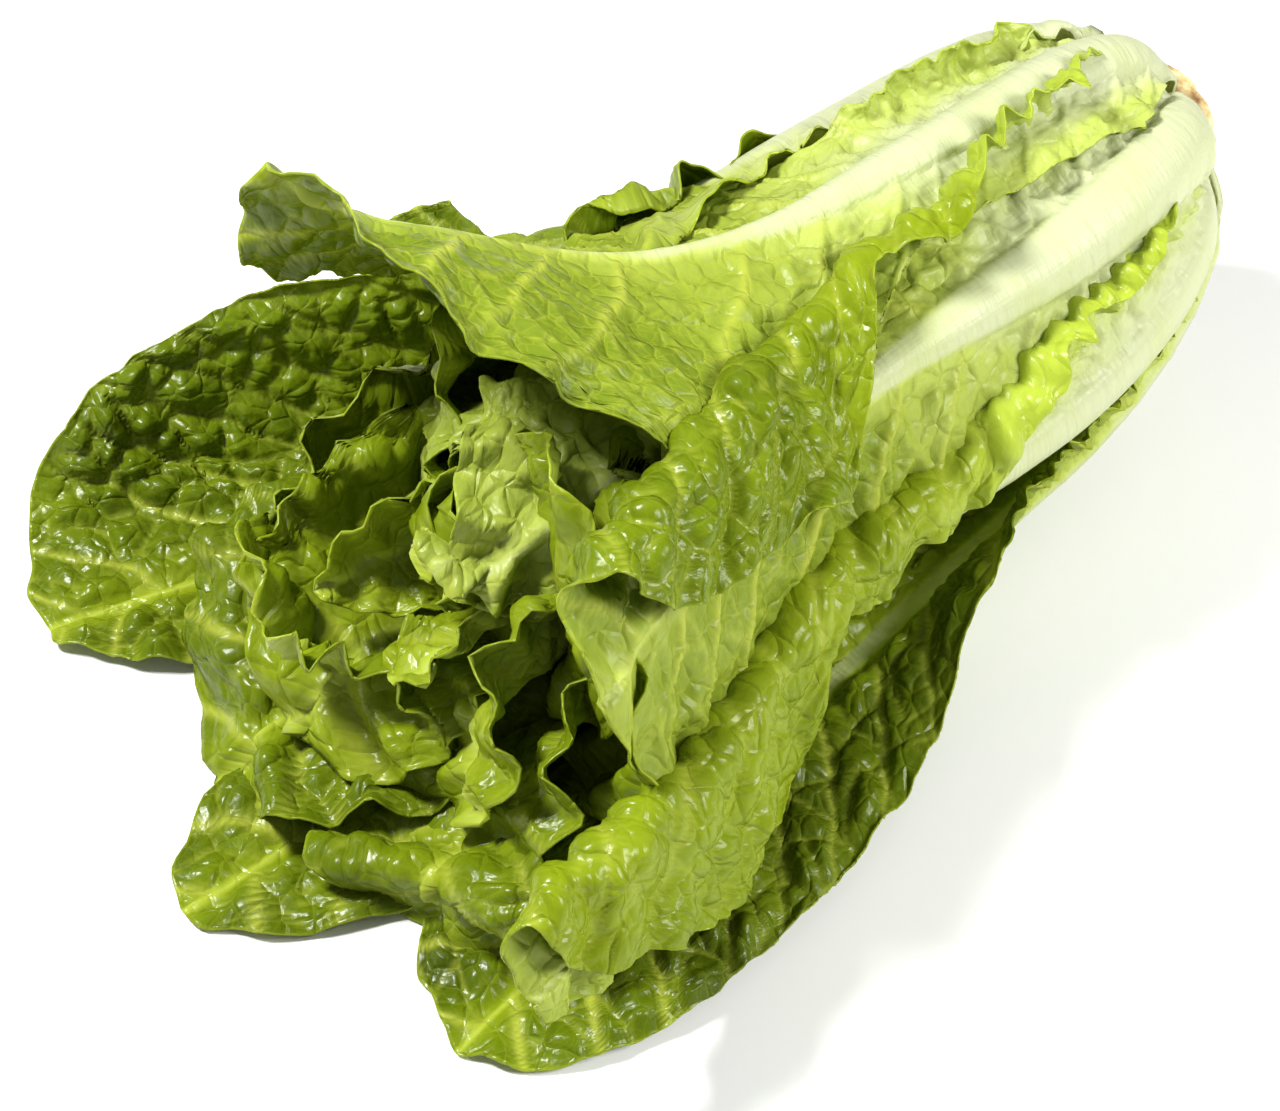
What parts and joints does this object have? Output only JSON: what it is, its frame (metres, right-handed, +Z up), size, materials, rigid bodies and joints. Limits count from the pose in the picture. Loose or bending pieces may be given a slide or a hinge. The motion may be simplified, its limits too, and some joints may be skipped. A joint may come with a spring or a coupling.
{
  "type": "head of lettuce",
  "caption": "Head of cos lettuce lying on its side: overlapping ribbed leaves round a short cut stem, open at the crown, old leaves spread flat beneath.",
  "frame": {"origin": "middle of the head's bounding box, on the surface it lies on", "axes": "+Z up, +Y along the head from its open crown to the cut end of its stem, +X to the side whose ribs and open crown show best"},
  "size_m": [0.2198, 0.3032, 0.1526],
  "materials": {
    "outer_leaf": "waxy leaf, dark green, blistered, satin gloss",
    "leaf": "waxy leaf, mid green paling to a creamy white rib, satin gloss",
    "inner_leaf": "waxy leaf, bright green with a pale rib, satin gloss",
    "heart_leaf": "tender leaf, yellow green with a pale rib, satin gloss",
    "core_leaf": "tender leaf, pale yellow green, satin gloss",
    "stem": "cut stem, cream, browned and dry at the cut"
  },
  "bodies": {
    "root": {"outer_leaf_far": "outer_leaf", "outer_leaf_near": "outer_leaf", "outer_leaf_under": "outer_leaf", "leaf_upper_far": "leaf", "leaf_top": "leaf", "leaf_upper_near": "leaf", "leaf_near": "leaf", "leaf_lower_near": "leaf", "leaf_lower_far": "leaf", "leaf_far": "leaf", "inner_leaf_1": "inner_leaf", "inner_leaf_2": "inner_leaf", "inner_leaf_3": "inner_leaf", "inner_leaf_4": "inner_leaf", "inner_leaf_5": "inner_leaf", "inner_leaf_6": "inner_leaf", "heart_leaf_1": "heart_leaf", "heart_leaf_2": "heart_leaf", "heart_leaf_3": "heart_leaf", "heart_leaf_4": "heart_leaf", "heart_leaf_5": "heart_leaf", "core_leaf_1": "core_leaf", "core_leaf_2": "core_leaf", "core_leaf_3": "core_leaf", "stem": "stem"}
  },
  "joints": []
}
